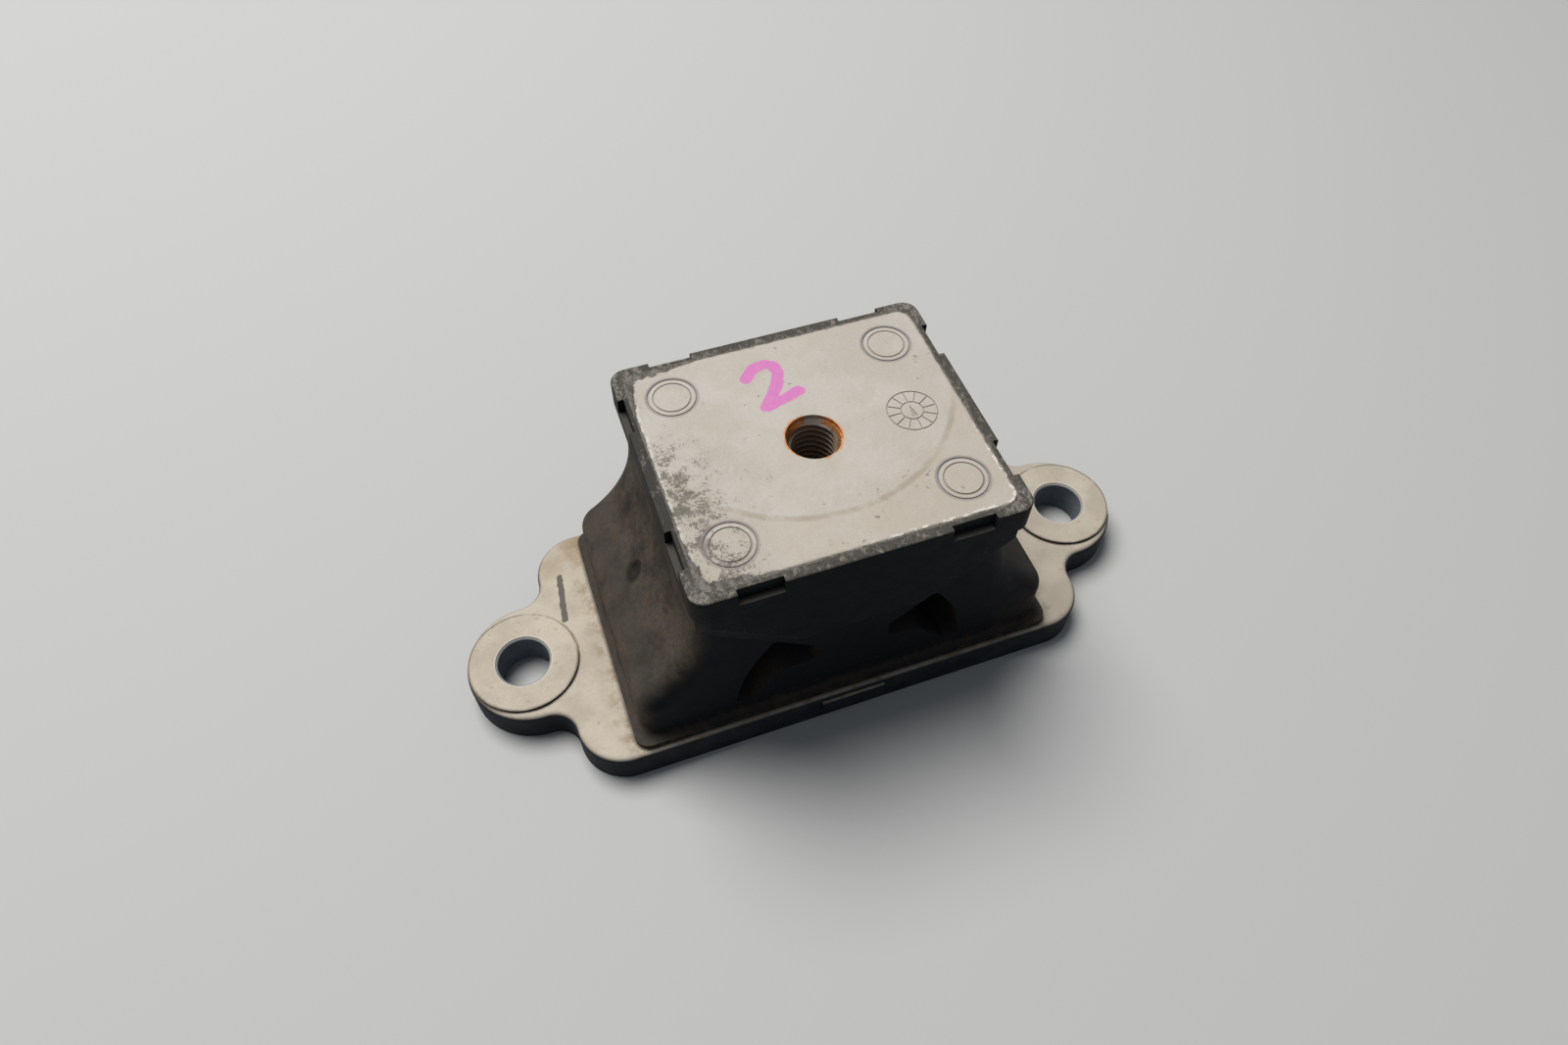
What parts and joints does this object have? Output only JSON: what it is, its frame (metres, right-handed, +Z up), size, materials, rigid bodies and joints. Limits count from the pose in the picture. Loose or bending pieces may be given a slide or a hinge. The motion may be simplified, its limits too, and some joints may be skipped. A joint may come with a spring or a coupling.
{
  "type": "rubber engine mount",
  "caption": "Wedge-type rubber engine mount: a metal base plate with bolt ears, a splayed rubber body and a metal wedge block with a threaded bush on top.",
  "frame": {"origin": "on the thread axis, at the underside of the base plate, midway between the two ear holes", "axes": "+Z up along the thread axis, +X along the line of the two bolt ears, Y through the two slots of the rubber"},
  "size_m": [0.152, 0.0586, 0.0574],
  "materials": {
    "cast_plate": "as cast, dull, stained brown near the rubber and the bosses",
    "rubber": "matt black, dusty brown on upward faces, grey where it is worn",
    "cast_block": "as cast, warm grey, with dark specks and scratches",
    "bush_steel": "dark brown-grey threads with orange rust at the mouth"
  },
  "bodies": {
    "root": {"base_plate": "cast_plate", "rubber_body": "rubber", "top_core": "cast_block", "threaded_insert": "bush_steel"}
  },
  "joints": []
}
